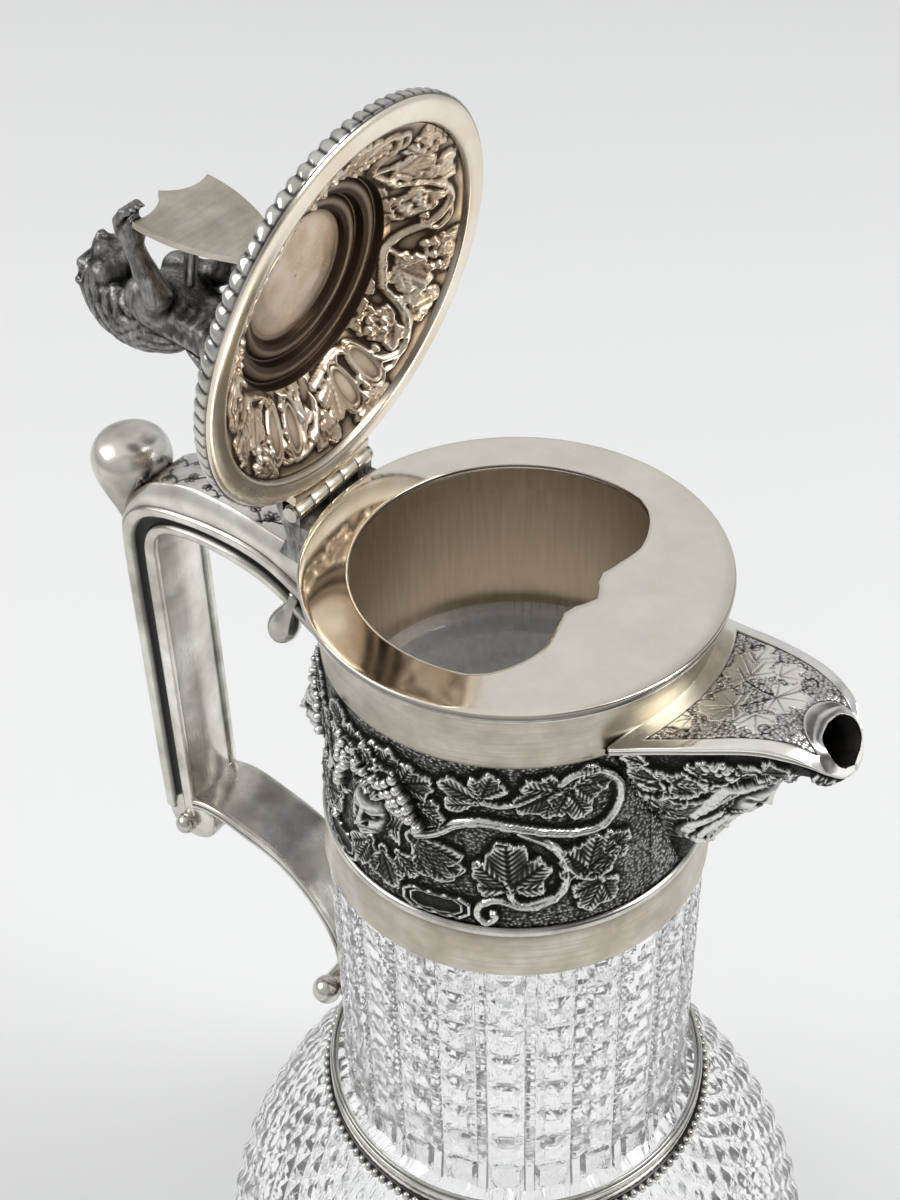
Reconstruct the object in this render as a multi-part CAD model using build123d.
from build123d import *
import math
import os

# Claret jug: a heavy cut-glass vessel with a silver neck mount, a spout, a lid on a
# knuckled hinge and a square handle. The origin is the middle of the resting face,
# +X points along the spout, +Z is up, lengths are in millimetres. The lid is drawn
# shut and then turned to its open stop, which is how the jug stands here.

# ---- driving dimensions ----
rim_height = 252.0           # resting face to the top of the rim plate
rim_radius = 38.0
plate_thickness = 1.2
band_wall = 1.0              # sheet that the bands are rolled from
seat_gap = 0.3               # lid's underside above the rim plate when shut

# glass
bulb_radius = 68.0
bulb_height = 47.0           # level of the widest part
bulb_wall = 8.0
foot_radius = 41.0
base_thickness = 13.0
star_points = 16             # cuts under the foot, round a flat button
star_depth = 1.2
star_button = 4.0
neck_radius = 36.8
bedded_radius = 33.0         # ground-down neck inside the mount
bore_radius = 28.4
glass_top_depth = 36.0       # below the rim
panel_count = 22             # flat cuts round the neck
panel_depth = 0.7

# neck mount, depths below the rim
top_band_depth = 14.9
frieze_depth = 53.6
wire_height = 2.4
mount_depth = 65.6
top_band_radius = 37.0
frieze_top_radius = 35.0
frieze_waist_radius = 34.7
frieze_bottom_radius = 36.0
mount_bottom_radius = 37.4
rim_wire_height = 1.2
wire_proud = 0.9
lining_wall = 0.8

# rim plate opening
mouth_radius = 29.1
tongue_reach = 16.3          # notch of the tongue from the axis
lobe_reach = 13.6
lobe_spread = 6.2
liner_depth = 5.6
liner_wall = 0.6
liner_half_angle = 118.0     # the liner is open towards the spout

# lower collar
collar_depth = 135.0
collar_height = 4.4
collar_radius = 40.6
collar_wall = 1.2
bead_count = 120
bead_radius = 1.15

# spout
plate_drop = 10.4            # root of the spout plate below the rim
plate_crest = 5.8            # highest line of the plate, before it turns down
crest_reach = 54.0
root_reach = 33.0
root_half_width = 19.0
crest_half_width = 11.4
keel_root_drop = 51.0        # lowest line of the spout, at the neck mount
keel_lip_drop = 20.0         # and where the lip begins
tip_reach = 66.3
tip_drop = 13.4
spout_wall = 1.1
plate_overhang = 0.6         # plate edge proud of the spout's side
mouth_reach = 62.9           # middle of the pouring hole
mouth_drop = 9.3
mouth_half_width = 4.9
mouth_half_length = 4.4
window_width = 17.0
window_height = 13.0

# handle
handle_width = 16.0
handle_reach = 89.5          # axis to the grip's outer face
grip_thickness = 8.0
elbow_depth = 19.5           # top of the elbow below the rim
crown_depth = 9.0            # top of the upper arm's arch
crown_reach = 68.0
grip_bottom_depth = 106.0
volute_radius = 7.4
arm_thickness = 10.5
strap_thickness = 2.4
groove_width = 2.2
groove_depth = 0.7
arm_shoulder = 2.0           # each step of the moulding along the arm's top
arm_shoulder_drop = 5.2
ball_radius = 2.5
ball_stem_radius = 1.2
ball_stand_off = 1.2
scroll_radius = 4.2
drop_radius = 3.2
drop_length = 13.5
drop_lean = 23.0             # degrees off the vertical, away from the neck
thumb_radius = 8.6
thumb_height = 14.6          # dome above the elbow

# hinge
hinge_reach = 40.6
hinge_rise = 1.0             # axis above the rim
barrel_radius = 1.75
barrel_width = 21.8
knuckle_count = 5
knuckle_gap = 0.15
pin_radius = 0.8
pin_clearance = 0.03
pin_head_radius = 1.5
leaf_gap = 0.35
open_angle = 78.8

# lid
lid_radius = 38.2
flange_inner_radius = 33.2
flange_thickness = 1.1
gadroon_count = 84
gadroon_height = 3.2
gadroon_inner_radius = 34.6
lid_sheet = 1.0
recess_height = 3.2
band_rise = 6.2
band_inner_radius = 18.6
step_count = 3
step_width = 2.0
step_rise = 1.0

# finial
lion_height = 43.5
shield_width = 19.8
shield_height = 25.5
shield_peak = 2.8
shield_thickness = 1.3
shield_reach = 0.4
peg_radius = 1.3

rim = rim_height


def below(depth):
    return rim_height - depth


def turned(points):
    """Solid of revolution from (radius, height) points."""
    return revolve(Plane.XZ * make_face(Polyline(*points, close=True)), Axis.Z)


def turned_wire(edges):
    return revolve(Plane.XZ * make_face(edges), Axis.Z)


def ring(outer, inner, bottom, top):
    return turned([(inner, bottom), (outer, bottom), (outer, top), (inner, top)])


def side_plate(outline, width, centre=0.0):
    """Outline in the X-Z plane, given thickness along Y."""
    return Pos(0, centre, 0) * extrude(Plane.XZ * outline, amount=width / 2, both=True)


def cross_bar(radius, length, x, z, centre=0.0):
    return Pos(x, centre, z) * Rot(90, 0, 0) * Cylinder(radius, length)


def ellipsoid(x_half, y_half, z_half):
    return scale(Sphere(1.0), (x_half, y_half, z_half))


def hinge_turn(shape, angle):
    axis = Axis((-hinge_reach, 0, rim + hinge_rise), (0, 1, 0))
    return shape.rotate(axis, angle)


# ---- derived places ----
plate_bottom = below(plate_thickness)
band_top = below(plate_thickness + rim_wire_height)
wire_bottom_depth = frieze_depth + wire_height
lining_radius = bedded_radius
collar_top = below(collar_depth)
collar_bottom = collar_top - collar_height
bead_middle = collar_bottom - bead_radius
collar_inner = collar_radius - collar_wall
shoulder_start = bead_middle - bead_radius
shoulder_radius = collar_inner - 0.2


# ---- glass ----
def make_glass():
    """Neck, bulb and foot in one blown and cut vessel."""
    bedded_bottom = below(mount_depth)
    neck_bottom = collar_top - 0.6
    shoulder_lean = (-0.5, 1)
    foot = Polyline((0, 0), (foot_radius, 0), (foot_radius + 1.5, 2.5))
    belly = Spline((foot_radius + 1.5, 2.5), (bulb_radius, bulb_height), tangents=((1, 0.45), (0, 1)))
    shoulder = Spline(
        (bulb_radius, bulb_height), (shoulder_radius, shoulder_start), tangents=((0, 1), shoulder_lean),
    )
    neck = Polyline(
        (shoulder_radius, shoulder_start), (shoulder_radius, collar_bottom), (neck_radius + 0.8, neck_bottom),
        (neck_radius, neck_bottom + 8), (neck_radius, bedded_bottom), (bedded_radius, bedded_bottom),
        (bedded_radius, below(glass_top_depth)), (0, below(glass_top_depth)), (0, 0),
    )
    body = turned_wire(foot + belly + shoulder + neck)
    hollow_radius = bulb_radius - bulb_wall
    hollow_foot = foot_radius - 6
    bore_start = shoulder_start + 4
    cavity = turned_wire(
        Line((0, base_thickness), (hollow_foot, base_thickness))
        + Spline((hollow_foot, base_thickness), (hollow_radius, bulb_height), tangents=((1, 0.3), (0, 1)))
        + Spline((hollow_radius, bulb_height), (bore_radius, bore_start), tangents=((0, 1), shoulder_lean))
        + Polyline((bore_radius, bore_start), (bore_radius, rim), (0, rim), (0, base_thickness))
    )
    glass = body - cavity
    cut_top = bedded_bottom - 4.0
    cut_bottom = neck_bottom + 9.0
    panel = Box(panel_depth * 2, 2 * neck_radius * math.tan(math.pi / panel_count) * 0.86, cut_top - cut_bottom)
    for index in range(panel_count):
        turn = Rot(0, 0, 360 / panel_count * (index + 0.5))
        glass -= turn * Pos(neck_radius + 0.25, 0, (cut_top + cut_bottom) / 2) * panel
    star_length = foot_radius - 5.0 - star_button
    cut = Pos(star_button + star_length / 2, 0, 0) * Rot(45, 0, 0) * Box(
        star_length, star_depth * math.sqrt(2), star_depth * math.sqrt(2))
    for index in range(star_points):
        glass -= Rot(0, 0, 360 / star_points * index) * cut
    return glass


# ---- neck mount ----
def band(top_depth, bottom_depth, top_r, bottom_r, bow):
    """Rolled sheet band whose middle bows by `bow` millimetres from the straight line."""
    middle = ((top_r + bottom_r) / 2 + bow, below((top_depth + bottom_depth) / 2))
    outer = ThreePointArc((bottom_r, below(bottom_depth)), middle, (top_r, below(top_depth)))
    inner = ThreePointArc(
        (top_r - band_wall, below(top_depth)), (middle[0] - band_wall, middle[1]),
        (bottom_r - band_wall, below(bottom_depth)),
    )
    return turned_wire(
        outer + Line((top_r, below(top_depth)), (top_r - band_wall, below(top_depth))) + inner
        + Line((bottom_r - band_wall, below(bottom_depth)), (bottom_r, below(bottom_depth)))
    )


def mount_core():
    """Filled solid of the bands, used to seat what is soldered on them."""
    depths = [plate_thickness + rim_wire_height, top_band_depth]
    waist = ((frieze_top_radius + frieze_bottom_radius) / 2 + frieze_bow, below((top_band_depth + frieze_depth) / 2))
    upper_mid = ((top_band_radius + frieze_top_radius) / 2 + top_band_bow,
                 below((depths[0] + depths[1]) / 2))
    edges = (
        Line((0, below(depths[0])), (top_band_radius, below(depths[0])))
        + ThreePointArc((top_band_radius, below(depths[0])), upper_mid, (frieze_top_radius, below(top_band_depth)))
        + ThreePointArc((frieze_top_radius, below(top_band_depth)), waist, (frieze_bottom_radius, below(frieze_depth)))
        + Polyline(
            (frieze_bottom_radius, below(frieze_depth)), (mount_bottom_radius, below(mount_depth)),
            (0, below(mount_depth)), (0, below(depths[0])),
        )
    )
    return turned_wire(edges)


top_band_bow = -0.5
frieze_bow = frieze_waist_radius - (frieze_top_radius + frieze_bottom_radius) / 2
core = mount_core()

# pouring window through lining, bedding and bands, below the spout plate
window_top = below(plate_drop + 4.4)
window = Pos(root_reach, 0, window_top - window_height / 2) * Box(16.0, window_width, window_height)
window += Pos(root_reach, 0, window_top - window_height) * Rot(0, 90, 0) * Cylinder(window_width / 2, 16.0)

upper_band = band(plate_thickness + rim_wire_height, top_band_depth, top_band_radius, frieze_top_radius, top_band_bow)
frieze_band = band(top_band_depth, frieze_depth, frieze_top_radius, frieze_bottom_radius, frieze_bow)
lower_band = band(wire_bottom_depth, mount_depth, frieze_bottom_radius + 0.3, mount_bottom_radius, 0.15)

wire_mid = below(frieze_depth + wire_height / 2)
band_wire = turned_wire(
    Line((frieze_bottom_radius - band_wall, below(frieze_depth)), (frieze_bottom_radius + 0.3, below(frieze_depth)))
    + ThreePointArc(
        (frieze_bottom_radius + 0.3, below(frieze_depth)), (frieze_bottom_radius + 0.3 + wire_proud, wire_mid),
        (frieze_bottom_radius + 0.3, below(wire_bottom_depth)),
    )
    + Line((frieze_bottom_radius + 0.3, below(wire_bottom_depth)),
           (frieze_bottom_radius - band_wall, below(wire_bottom_depth)))
    + Line((frieze_bottom_radius - band_wall, below(wire_bottom_depth)),
           (frieze_bottom_radius - band_wall, below(frieze_depth)))
)
rim_wire = turned_wire(
    Line((bedded_radius, band_top), (top_band_radius, band_top))
    + ThreePointArc((top_band_radius, band_top), (rim_radius - 0.1, (band_top + plate_bottom) / 2),
                    (rim_radius - 0.5, plate_bottom))
    + Polyline((rim_radius - 0.5, plate_bottom), (bedded_radius, plate_bottom), (bedded_radius, band_top))
)
neck_lining = ring(lining_radius, lining_radius - lining_wall, below(glass_top_depth), plate_bottom)

cement_top_depth = glass_top_depth - 18.0
neck_cement = turned([
    (bedded_radius, below(mount_depth)), (mount_bottom_radius - band_wall, below(mount_depth)),
    (mount_bottom_radius - band_wall, below(cement_top_depth)), (bedded_radius, below(cement_top_depth)),
]) & (turned_wire(
    ThreePointArc(
        (frieze_bottom_radius - band_wall, below(frieze_depth)),
        (frieze_waist_radius - band_wall, below((top_band_depth + frieze_depth) / 2)),
        (frieze_top_radius - band_wall, below(top_band_depth)),
    )
    + Polyline(
        (frieze_top_radius - band_wall, below(top_band_depth)), (0, below(top_band_depth)),
        (0, below(mount_depth - 1.2)), (frieze_bottom_radius - band_wall, below(mount_depth - 1.2)),
        (frieze_bottom_radius - band_wall, below(frieze_depth)),
    )
))

neck_lining -= window
frieze_band -= window
neck_cement -= window


# ---- rim plate ----
def mouth_outline():
    """Round mouth closed towards the spout by a bracket-shaped tongue."""
    meet_x = 9.5
    meet_y = math.sqrt(mouth_radius**2 - meet_x**2)
    dip = (lobe_reach + tongue_reach) / 2 + 0.4
    half = [
        (tongue_reach, 0), (lobe_reach, lobe_spread), (dip, lobe_spread * 1.85),
        (dip - 0.2, lobe_spread * 2.9), (meet_x, meet_y),
    ]
    edges = Curve()
    for side in (1, -1):
        p = [(x, y * side) for x, y in half]
        edges += ThreePointArc(p[0], p[1], p[2]) + ThreePointArc(p[2], p[3], p[4])
    edges += ThreePointArc((meet_x, meet_y), (-mouth_radius, 0), (meet_x, -meet_y))
    return make_face(edges)


mouth = extrude(Plane.XY.offset(plate_bottom - 1) * mouth_outline(), amount=plate_thickness + 2)
rim_plate = Pos(0, 0, plate_bottom) * Cylinder(
    rim_radius, plate_thickness, align=(Align.CENTER, Align.CENTER, Align.MIN)
)
rim_plate = fillet(rim_plate.edges(), 0.5)
rim_plate -= mouth

mouth_liner = ring(mouth_radius + liner_wall, mouth_radius, below(liner_depth), plate_bottom)
liner_cut = Pos(0, 0, below(liner_depth) - 1) * extrude(
    make_face(Polyline(
        (0, 0),
        *[(60 * math.cos(math.radians(a)), 60 * math.sin(math.radians(a)))
          for a in (-(180 - liner_half_angle), 0, 180 - liner_half_angle)],
        close=True,
    )), amount=liner_depth + 2,
)
mouth_liner -= liner_cut

# ---- spout ----
plate_root = below(plate_drop)

body_reach = crest_reach - root_reach
lip_reach = tip_reach - crest_reach
# upright sections: share of the way to the crest, share of the keel's drop, fullness of the flanks
upright_sections = [(0.0, 1.0, 0.58), (0.29, 0.79, 0.66), (0.55, 0.45, 0.76), (0.79, 0.16, 0.86), (1.05, 0.0, 0.94)]


def plate_outline():
    """Edge of the plate in plan, from the root round the tip."""
    side = [
        (root_reach - 4, root_half_width + 1), (root_reach + 0.52 * body_reach, 1.34 * crest_half_width),
        (crest_reach, crest_half_width), (crest_reach + 0.57 * lip_reach, 0.76 * crest_half_width),
        (crest_reach + 0.84 * lip_reach, 0.49 * crest_half_width),
    ]
    near = [(x, -y) for x, y in side]
    far = list(reversed(side))
    back = 0.6 * root_reach
    edge = Spline(*near, (tip_reach, 0), *far)
    return make_face(edge + Polyline(far[-1], (back, far[-1][1]), (back, near[0][1]), near[0]))


def plate_line(drop):
    """Side view of the plate, `drop` under its top face: up to the crest, then down to the lip."""
    turn_down = math.radians(52)
    tip = (tip_reach + 0.4 - drop * math.sin(turn_down), below(tip_drop + 0.5) - drop * math.cos(turn_down))
    rise = plate_drop - plate_crest
    return Spline(
        (0.73 * root_reach, plate_root - 0.5 * rise - drop), (root_reach, plate_root - drop),
        (root_reach + 0.52 * body_reach, plate_root + 0.59 * rise - drop),
        (crest_reach, below(plate_crest) - drop),
        (crest_reach + 0.5 * lip_reach - 0.3 * drop, below(plate_crest + 0.24 * rise) - drop), tip,
        tangents=((1, 0.25), (math.cos(turn_down), -math.sin(turn_down))),
    )


def plate_height(share):
    """Top of the plate at a share of the way from the root to the crest."""
    return plate_root + (plate_drop - plate_crest) * (1.35 * share - 0.35 * share ** 2)


def flank_half_width(share):
    narrowing = (root_half_width - crest_half_width) * (0.78 * share + 0.22 * share ** 2)
    return root_half_width - narrowing - plate_overhang


def spout_section(top, bottom, half_width, shoulder, belly, inset):
    """Closed outline from the top point to the keel point, square or rounded at the shoulders."""
    lean = math.degrees(math.atan2(bottom[0] - top[0], top[1] - bottom[1]))
    drop = math.hypot(bottom[0] - top[0], top[1] - bottom[1])
    half = half_width - inset
    high = -inset
    low = -drop + 1.4 * inset
    corner = (half * (1 - 0.3 * shoulder), high - 0.16 * drop * shoulder)
    side = (half * belly, (high + low) * 0.5)
    flank = (half * belly ** 2 * 0.62, low * 0.86)
    shape = (
        Spline((-corner[0], corner[1]), (0, high), corner)
        + Spline(corner, side, flank, (0, low), (-flank[0], flank[1]), (-side[0], side[1]),
                 (-corner[0], corner[1]))
    )
    direction = (math.cos(math.radians(lean)), 0, math.sin(math.radians(lean)))
    return Plane(origin=(top[0], 0, top[1]), x_dir=(0, 1, 0), z_dir=direction) * make_face(shape)


def flank_sections(inset):
    """Sections from the root to the neck of the lip, for the outside or, inset, for the passage."""
    faces = []
    for share, keel_share, belly in upright_sections:
        x = root_reach + share * body_reach
        keel = below(keel_lip_drop + keel_share * (keel_root_drop - keel_lip_drop))
        faces.append(spout_section((x, plate_height(share)), (x, keel), flank_half_width(share), 0.0, belly, inset))
    return faces


def mouth_section(half_width, half_length):
    """Section in the plane of the pouring hole, which faces up and out at 45 degrees."""
    rise = half_length / math.sqrt(2)
    return spout_section(
        (mouth_reach - rise, below(mouth_drop) + rise), (mouth_reach + rise, below(mouth_drop) - rise),
        half_width, 1.0, 1.0, 0.0)


spout_body = loft(flank_sections(0.0) + [mouth_section(1.43 * mouth_half_width, 1.27 * mouth_half_length)])
passage = loft(flank_sections(spout_wall) + [mouth_section(mouth_half_width, mouth_half_length)])
pouring_hole = extrude(mouth_section(mouth_half_width, mouth_half_length), amount=6, both=True)
underside = plate_line(plate_thickness)
above_plate = side_plate(make_face(underside + Polyline(
    underside @ 1, (2 * tip_reach, below(tip_drop)), (2 * tip_reach, 1.1 * rim), (0.73 * root_reach, 1.1 * rim),
    underside @ 0)), 4 * root_half_width)
topside = plate_line(0)
sheet = side_plate(make_face(
    topside + Line(topside @ 1, underside @ 1) + underside + Line(underside @ 0, topside @ 0)), 4 * root_half_width)
plate_prism = Pos(0, 0, below(keel_lip_drop)) * extrude(plate_outline(), amount=keel_lip_drop)
spout_plate = (sheet & plate_prism) - pouring_hole - core
spout_shell = spout_body - above_plate - passage - pouring_hole - core


def make_spout_mask():
    """Bearded head under the spout, looking outwards."""
    face_x = 45.0
    face_z = below(32.0)
    mask = Pos(face_x - 4.5, 0, face_z) * ellipsoid(9.5, 10.5, 12.0)
    mask += Pos(face_x + 1.0, 0, face_z + 4.5) * ellipsoid(5.5, 8.0, 4.0)
    nose = Pos(face_x + 3.6, 0, face_z + 0.5) * ellipsoid(2.6, 1.9, 4.4)
    beard = Pos(face_x - 5.0, 0, face_z - 13.0) * Rot(0, 28, 0) * ellipsoid(5.0, 7.0, 9.5)
    return mask + nose + beard


spout_mask = make_spout_mask() - spout_body - core - band_wire


# ---- hinge ----
axis_height = rim + hinge_rise
knuckle_length = barrel_width / knuckle_count


def knuckles(picked, barrel, bore):
    """Barrel lengths kept by one leaf, bored for the pin."""
    kept = []
    for index in picked:
        middle = (index + 0.5) * knuckle_length - barrel_width / 2
        kept.append(cross_bar(barrel, knuckle_length - knuckle_gap, -hinge_reach, axis_height, middle))
    tube = kept[0]
    for more in kept[1:]:
        tube += more
    return tube - cross_bar(bore, barrel_width + 4, -hinge_reach, axis_height)


jug_knuckles = [i for i in range(knuckle_count) if i % 2 == 0]
lid_knuckles = [i for i in range(knuckle_count) if i % 2 == 1]

hinge_pin = cross_bar(pin_radius, barrel_width + 1.0, -hinge_reach, axis_height)
for side in (1, -1):
    hinge_pin += cross_bar(pin_head_radius, 0.7, -hinge_reach, axis_height, side * (barrel_width / 2 + 0.35))


# ---- handle ----
grip_outer = -handle_reach
grip_inner = grip_outer + grip_thickness
elbow_top = below(elbow_depth)
volute_x = grip_inner - 1.2
volute_z = below(grip_bottom_depth)
grip_top = elbow_top - 9.0
arm_root_x = -(frieze_top_radius + 4.0)
upper_volute_x = -(frieze_top_radius + 11.0)
upper_volute_z = below(crown_depth + 21.0)
upper_volute_radius = 5.2
thumb_x = grip_outer - 2.2
drop_x = -(frieze_top_radius + 9.6)
drop_top = below(23.0)
scroll_z = collar_bottom - 2.0


def upper_arm_outline(lowered):
    """Arched strap from the collar out to the elbow, its top `lowered` for the moulding's steps."""
    crown = below(crown_depth)
    top = Spline(
        (grip_outer, elbow_top - 1.0 - lowered * 0.3), (-crown_reach - 10.0, crown - 2.6 - lowered),
        (-crown_reach + 3.0, crown - lowered), (arm_root_x - 8.0, crown - 2.4 - lowered),
        (-20.0, crown - 6.0 - lowered),
    )
    under = Spline(
        (-20.0, upper_volute_z - 2.0), (upper_volute_x + 2.2, upper_volute_z + upper_volute_radius - 1.2),
        (-crown_reach + 8.0, crown - arm_thickness), (-crown_reach - 6.0, crown - arm_thickness + 0.2),
        (grip_inner + 2.2, elbow_top - 4.4), (grip_inner, grip_top),
    )
    return make_face(
        top + Line(top @ 1, (-20.0, upper_volute_z - 2.0)) + under
        + Polyline((grip_inner, grip_top), (grip_outer, grip_top), top @ 0)
    )


def grip_outline():
    """Straight grip that ends in a rounded volute."""
    bar = make_face(Polyline(
        (grip_outer, grip_top), (grip_inner, grip_top), (grip_inner, volute_z), (grip_outer, volute_z), close=True,
    ))
    eye = Pos(volute_x, volute_z) * Circle(volute_radius)
    return bar + eye


def lower_arm_outline():
    """Thin strap from the volute down the collar to the foot scroll."""
    top = grip_bottom_depth
    foot_x = -(collar_radius + 1.3)
    line = Spline(
        (grip_inner - 2.0, below(top - 7.0)), (-74.0, below(top - 6.2)), (-62.0, below(top - 2.4)),
        (-51.5, below(top + 4.6)), (foot_x - 2.4, below(top + 15.5)), (foot_x, below(collar_depth - 4.0)),
    ) + Line((foot_x, below(collar_depth - 4.0)), (foot_x, scroll_z))
    return trace(line, line_width=strap_thickness)


def side_groove():
    """Sunk line along both side faces of the arm and the grip."""
    middle_x = grip_outer + 0.46 * grip_thickness
    crown = below(crown_depth + 0.58 * arm_thickness)
    line = Line((middle_x, volute_z + 1.0), (middle_x, elbow_top - 9.0)) + Spline(
        (middle_x, elbow_top - 9.0), (-crown_reach - 8.5, crown - 1.2), (-crown_reach + 3.0, crown),
        (-54.0, crown - 3.0), (-40.0, crown - 12.5), tangents=((0, 1), (1, -1)),
    )
    channel = trace(line, line_width=groove_width)
    return (side_plate(channel, 2 * groove_depth, handle_width / 2)
            + side_plate(channel, 2 * groove_depth, -handle_width / 2))


groove = side_groove()
upper_arm = side_plate(upper_arm_outline(arm_shoulder_drop), handle_width)
upper_arm += side_plate(upper_arm_outline(arm_shoulder_drop / 2), handle_width - arm_shoulder)
upper_arm += side_plate(upper_arm_outline(0.0), handle_width - 2 * arm_shoulder)
rim_clear = Pos(0, 0, band_top) * Cylinder(
    rim_radius + 0.02, 60, align=(Align.CENTER, Align.CENTER, Align.MIN))
upper_arm = upper_arm - core - rim_clear - groove
grip = side_plate(grip_outline(), handle_width) - groove
collar_fill = Pos(0, 0, collar_bottom - 2 * bead_radius) * Cylinder(
    collar_radius + bead_radius, 2 * bead_radius + 0.1, align=(Align.CENTER, Align.CENTER, Align.MIN))
collar_fill += Pos(0, 0, collar_bottom) * Cylinder(
    collar_radius, collar_height, align=(Align.CENTER, Align.CENTER, Align.MIN))
lower_arm = side_plate(lower_arm_outline(), handle_width) - grip - collar_fill


def thumbpiece_solid():
    """Domed bun on the elbow that runs down into the grip's outer face."""
    crown_z = elbow_top + thumb_height - thumb_radius
    bun = Pos(thumb_x, 0, crown_z) * ellipsoid(thumb_radius, thumb_radius, thumb_radius * 0.86)
    # level below the bun's middle, shift towards the grip, half length, half width
    tail_steps = [
        (0.0, 0.0, 1.0, 1.0), (0.33, 0.06, 0.92, 1.0), (0.67, 0.14, 0.72, 0.95), (1.0, 0.25, 0.48, 0.87),
        (1.35, 0.34, 0.25, 0.78), (1.8, 0.38, 0.12, 0.62),
    ]
    tail = loft([
        Plane.XY.offset(crown_z - drop * thumb_radius) * Pos(thumb_x + shift * thumb_radius, 0)
        * Ellipse(thumb_radius * long, thumb_radius * wide)
        for drop, shift, long, wide in tail_steps
    ])
    return bun + tail


thumbpiece = thumbpiece_solid() - upper_arm - grip


def ball_bar(x, z, ball):
    """Bar across the handle with a ball on each end."""
    reach = handle_width / 2 + ball_stand_off
    bar = cross_bar(ball_stem_radius, 2 * reach, x, z)
    for side in (1, -1):
        bar += Pos(x, side * reach, z) * Sphere(ball)
    return bar


elbow_bar = ball_bar(volute_x, volute_z, ball_radius)
grip -= elbow_bar

# ---- lower collar ----
lower_collar = ring(collar_radius, collar_inner, collar_bottom, collar_top)
collar_cement = ring(collar_inner, shoulder_radius, shoulder_start, collar_top - 0.8)


def scalloped(radius, bulge, count):
    """Disc outline with `count` round lobes that stand `bulge` proud of `radius`."""
    edges = Curve()
    step = 2 * math.pi / count
    for index in range(count):
        a0, a1 = index * step, (index + 1) * step
        middle = (a0 + a1) / 2
        edges += ThreePointArc(
            (radius * math.cos(a0), radius * math.sin(a0)),
            ((radius + bulge) * math.cos(middle), (radius + bulge) * math.sin(middle)),
            (radius * math.cos(a1), radius * math.sin(a1)),
        )
    return make_face(edges)


bead_wire = Pos(0, 0, collar_bottom - 2 * bead_radius) * extrude(
    scalloped(collar_radius, bead_radius * 0.8, bead_count), amount=2 * bead_radius)
bead_wire -= Pos(0, 0, collar_bottom - 3 * bead_radius) * Cylinder(
    collar_inner, 5 * bead_radius, align=(Align.CENTER, Align.CENTER, Align.MIN))

# ---- lid, drawn shut ----
lid_bottom = rim + seat_gap
flange_top = lid_bottom + flange_thickness
recess_top = lid_bottom + recess_height
band_top_level = recess_top + band_rise


def lid_inner_line():
    """Inside of the lid from the recess to the crown, as (radius, height)."""
    points = [(flange_inner_radius, recess_top)]
    points.append((band_inner_radius, band_top_level))
    radius = band_inner_radius
    level = band_top_level
    for _ in range(step_count):
        level += step_rise
        points.append((radius, level))
        radius -= step_width
        points.append((radius, level))
    return points


inner_line = lid_inner_line()
crown_level = inner_line[-1][1] + 0.8
outer_line = [(r + 0.1, z + lid_sheet) for r, z in inner_line]
lid_dome = turned(
    [(flange_inner_radius, flange_top - 0.0), (flange_inner_radius - lid_sheet, flange_top)]
    + [(flange_inner_radius - lid_sheet, recess_top)]
    + inner_line[1:] + [(0, crown_level), (0, crown_level + lid_sheet)] + list(reversed(outer_line))[:-1]
    + [(flange_inner_radius, recess_top + lid_sheet)]
)
lid_flange = ring(lid_radius - 0.8, flange_inner_radius - lid_sheet, lid_bottom, flange_top)


gadroon_profile = turned_wire(
    Line((lid_radius - 0.8, lid_bottom), (lid_radius - 0.2, lid_bottom))
    + ThreePointArc(
        (lid_radius - 0.2, lid_bottom), (lid_radius - 0.1, lid_bottom + gadroon_height * 0.75),
        (gadroon_inner_radius, lid_bottom + gadroon_height),
    )
    + Polyline((gadroon_inner_radius, lid_bottom + gadroon_height), (gadroon_inner_radius, flange_top),
               (lid_radius - 0.8, flange_top), (lid_radius - 0.8, lid_bottom))
)
gadroon_disc = Pos(0, 0, lid_bottom) * extrude(
    scalloped(lid_radius - 0.75, 0.75, gadroon_count), amount=gadroon_height + 1)
gadroon_border = gadroon_profile & gadroon_disc

# ---- hinge leaves ----
leaf_face = hinge_reach - barrel_radius - leaf_gap          # back of the lid's leaf when shut
cradle_radius = barrel_radius + leaf_gap
block_back = -(hinge_reach + barrel_radius + leaf_gap + 2.0)
block_outline = make_face(Polyline(
    (block_back, axis_height + barrel_radius + 0.4), (block_back + 2.0, axis_height + barrel_radius + 0.4),
    (block_back + 2.0, axis_height), (-hinge_reach, rim - 1.6), (-20.0, rim - 1.6), (-20.0, below(7.5)),
    (block_back + 2.5, below(5.5)), close=True,
))
riser_outline = make_face(Polyline(
    (block_back + 1.2, below(4.4)), (-20.0, below(4.4)), (-20.0, below(19.0)), (block_back - 6.0, below(19.0)),
    close=True,
))
hinge_block = side_plate(block_outline, barrel_width) + side_plate(riser_outline, handle_width - 2.0)
hinge_block -= cross_bar(cradle_radius, barrel_width + 2, -hinge_reach, axis_height)
block_clear = Pos(0, 0, below(30)) * Cylinder(
    rim_radius + 0.02, 60, align=(Align.CENTER, Align.CENTER, Align.MIN))
hinge_block = hinge_block - block_clear - upper_arm
for index in jug_knuckles:
    middle = (index + 0.5) * knuckle_length - barrel_width / 2
    web = Pos(-hinge_reach, middle, rim - 1.7) * Box(
        2 * barrel_radius - 0.5, knuckle_length - knuckle_gap, axis_height - rim + 1.7,
        align=(Align.CENTER, Align.CENTER, Align.MIN))
    hinge_block += web
hinge_block += knuckles(jug_knuckles, barrel_radius, pin_radius)
hinge_block -= cross_bar(pin_radius, barrel_width + 4, -hinge_reach, axis_height)

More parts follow.
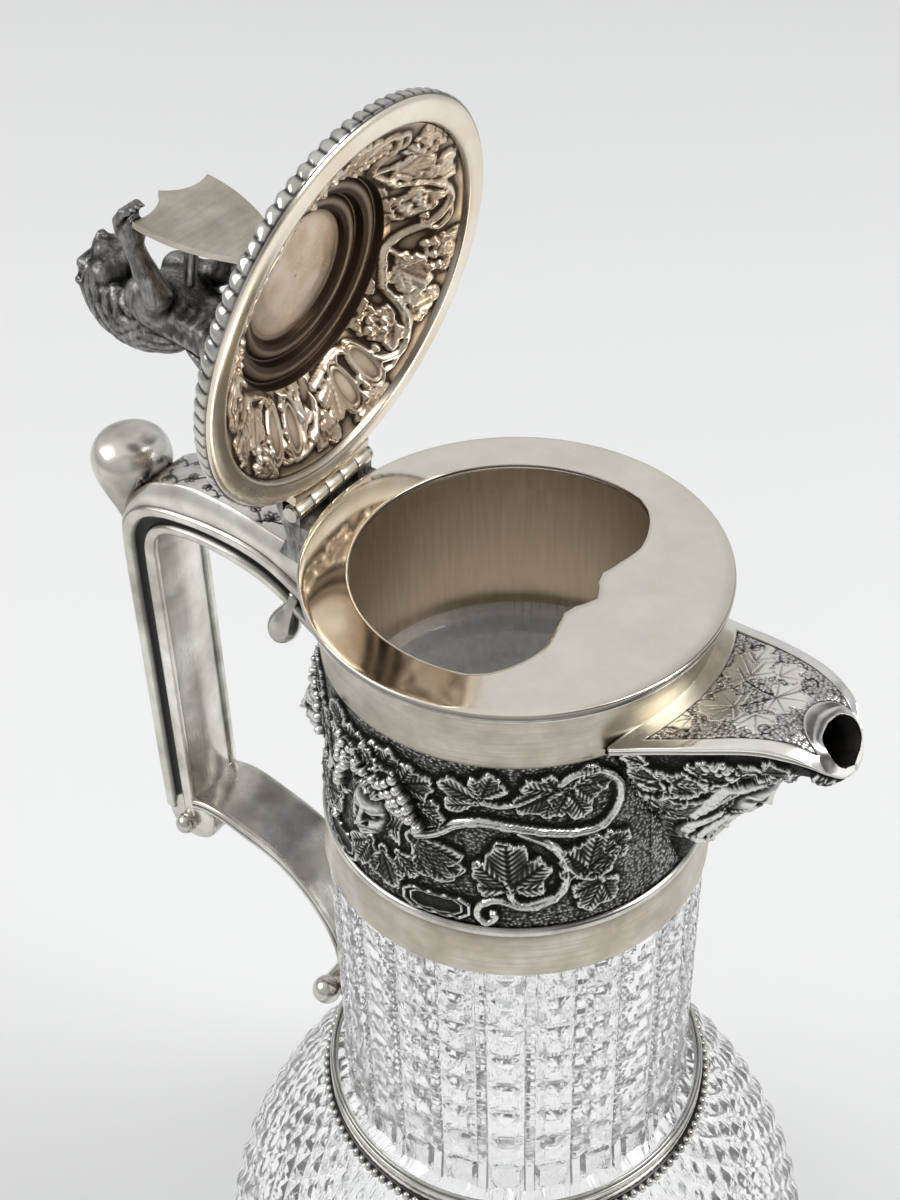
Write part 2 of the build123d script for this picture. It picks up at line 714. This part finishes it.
lid_leaf = Pos(-leaf_face, 0, lid_bottom + 0.25) * Box(
    6.0, barrel_width, gadroon_height + 0.1, align=(Align.MIN, Align.CENTER, Align.MIN))
for index in lid_knuckles:
    middle = (index + 0.5) * knuckle_length - barrel_width / 2
    finger = Pos(-hinge_reach, middle, axis_height - 0.6) * Box(
        hinge_reach - leaf_face + 1.0, knuckle_length - knuckle_gap, barrel_radius + 0.6,
        align=(Align.MIN, Align.CENTER, Align.MIN))
    lid_leaf += finger
lid_leaf -= Pos(0, 0, rim - 1) * Cylinder(lid_radius, 20, align=(Align.CENTER, Align.CENTER, Align.MIN))
lid_leaf += knuckles(lid_knuckles, barrel_radius, pin_radius + pin_clearance)
lid_leaf -= cross_bar(pin_radius + pin_clearance, barrel_width + 4, -hinge_reach, axis_height)

# ---- volutes at the handle's ends ----
def pear_drop(side):
    """Pear-shaped knob that hangs from the arm's root on one side."""
    profile = turned_wire(
        Spline((0, -drop_length), (drop_radius, -drop_length * 0.68), (drop_radius * 0.45, -drop_length * 0.2),
               (drop_radius * 0.4, 0), tangents=((1, 0), (0, 1)))
        + Polyline((drop_radius * 0.4, 0), (0, 0), (0, -drop_length))
    )
    return Pos(drop_x, side * (handle_width / 2 - 1.4), drop_top) * Rot(0, drop_lean, 0) * profile


upper_drop = cross_bar(ball_stem_radius + 0.4, handle_width - 3.0, drop_x - 3.4, drop_top - 8.0)
upper_drop += pear_drop(1) + pear_drop(-1)
upper_drop = upper_drop - upper_arm - core - groove
lower_volute_x = -(collar_radius + 1.3 + strap_thickness / 2 + scroll_radius)
lower_scroll = cross_bar(scroll_radius, handle_width - 1.0, lower_volute_x, scroll_z)
lower_scroll += ball_bar(lower_volute_x, scroll_z, ball_radius + 0.2)
lower_scroll = lower_scroll - lower_arm

# ---- finial, on the shut lid ----
perch = crown_level + lid_sheet


def lion():
    """Lion rampant, upright behind its shield."""
    unit = lion_height / 43.5
    solid = Pos(-20.5 * unit, 0, perch + 15.5 * unit) * Rot(0, -8, 0) * ellipsoid(
        7.6 * unit, 6.8 * unit, 15.0 * unit)
    for side in (1, -1):
        solid += Pos(-20.0 * unit, side * 4.6 * unit, perch + 6.5 * unit) * ellipsoid(
            7.4 * unit, 4.0 * unit, 6.8 * unit)
        solid += Pos(-12.5 * unit, side * 5.0 * unit, perch + 1.6 * unit) * ellipsoid(
            6.4 * unit, 2.6 * unit, 2.2 * unit)
    solid += Pos(-23.5 * unit, 0, perch + 31.0 * unit) * Rot(0, -14, 0) * ellipsoid(
        8.2 * unit, 7.6 * unit, 9.4 * unit)
    solid += Pos(-22.6 * unit, 0, perch + 37.0 * unit) * ellipsoid(7.6 * unit, 6.0 * unit, 6.2 * unit)
    solid += Pos(-16.0 * unit, 0, perch + 36.0 * unit) * ellipsoid(4.4 * unit, 3.6 * unit, 3.2 * unit)
    for side in (1, -1):
        shoulder = (-17.0 * unit, side * 5.2 * unit, perch + 22.5 * unit)
        paw = (shield_reach - 2.6, side * (shield_width / 2 - 2.0), perch + 25.0 * unit)
        limb = Line(shoulder, paw)
        solid += sweep(Plane(origin=shoulder, z_dir=limb % 0) * Circle(2.3 * unit), path=limb)
        solid += Pos(*paw) * Sphere(2.5 * unit)
    tail_path = Spline(
        (-25.0 * unit, 0, perch + 5.0 * unit), (-33.0 * unit, 0, perch + 10.0 * unit),
        (-35.5 * unit, 0, perch + 18.0 * unit), (-31.0 * unit, 0, perch + 24.0 * unit),
    )
    tail = sweep(Plane(origin=tail_path @ 0, z_dir=tail_path % 0) * Circle(1.5 * unit), path=tail_path)
    solid += tail
    solid += Pos(-31.0 * unit, 0, perch + 25.0 * unit) * ellipsoid(2.2 * unit, 2.0 * unit, 3.0 * unit)
    foot_plane = Pos(0, 0, perch) * Cylinder(60, 40, align=(Align.CENTER, Align.CENTER, Align.MAX))
    return solid - foot_plane


def shield():
    """Heater shield with two scallops along its top."""
    half = shield_width / 2
    low = perch + 0.6
    top = low + shield_height
    edges = (
        Spline((0, low), (half * 0.56, low + shield_height * 0.3), (half * 0.9, low + shield_height * 0.62),
               (half, top))
        + ThreePointArc((half, top), (half * 0.5, top - 0.4), (0, top + shield_peak))
        + ThreePointArc((0, top + shield_peak), (-half * 0.5, top - 0.4), (-half, top))
        + Spline((-half, top), (-half * 0.9, low + shield_height * 0.62), (-half * 0.56, low + shield_height * 0.3),
                 (0, low))
    )
    return Pos(shield_reach, 0, 0) * extrude(Plane.YZ * make_face(edges), amount=shield_thickness)


lion_solid = lion()
shield_solid = shield()
lion_solid -= Pos(shield_reach, 0, perch) * Box(
    20, 60, 80, align=(Align.MIN, Align.CENTER, Align.MIN))
peg_height = perch + lion_height * 0.48
shield_peg = Pos(-17.0, 0, peg_height) * Rot(0, 90, 0) * Cylinder(
    peg_radius, 17.0 + shield_reach, align=(Align.CENTER, Align.CENTER, Align.MIN))
shield_peg -= lion_solid

# ---- masks on the frieze ----
mask_angles = (101.0, 148.0, -101.0, -148.0)
mask_depth = (top_band_depth + frieze_depth) / 2 + 1.0


def frieze_masks():
    """Four cast heads soldered round the frieze."""
    heads = []
    for angle in mask_angles:
        head = Pos(frieze_waist_radius - 0.4, 0, below(mask_depth)) * (
            ellipsoid(3.6, 5.2, 7.0) + Pos(2.4, 0, -0.8) * ellipsoid(1.6, 1.2, 2.2))
        heads.append(Rot(0, 0, angle) * (head - core))
    return Compound(children=[h for h in heads])


shut_lid = {
    "lid_flange": lid_flange,
    "lid_dome": lid_dome,
    "gadroon_border": gadroon_border,
    "lid_leaf": lid_leaf,
    "lion": lion_solid,
    "shield": shield_solid,
    "shield_peg": shield_peg,
}
parts = {
    "lower_scroll": lower_scroll,
    "upper_drop": upper_drop,
    "hinge_block": hinge_block,
    "frieze_masks": frieze_masks(),
    "bead_wire": bead_wire,
    "upper_arm": upper_arm,
    "grip": grip,
    "lower_arm": lower_arm,
    "thumbpiece": thumbpiece,
    "elbow_bar": elbow_bar,
    "hinge_pin": hinge_pin,
    "lower_collar": lower_collar,
    "collar_cement": collar_cement,
    "glass_body": make_glass(),
    "neck_cement": neck_cement,
    "neck_lining": neck_lining,
    "upper_band": upper_band,
    "frieze_band": frieze_band,
    "band_wire": band_wire,
    "lower_band": lower_band,
    "rim_wire": rim_wire,
    "rim_plate": rim_plate,
    "mouth_liner": mouth_liner,
    "spout_shell": spout_shell,
    "spout_plate": spout_plate,
    "spout_mask": spout_mask,
}

parts.update({name: hinge_turn(shape, -open_angle) for name, shape in shut_lid.items()})

os.makedirs("parts", exist_ok=True)
for name, shape in parts.items():
    export_step(shape, f"parts/{name}.step")
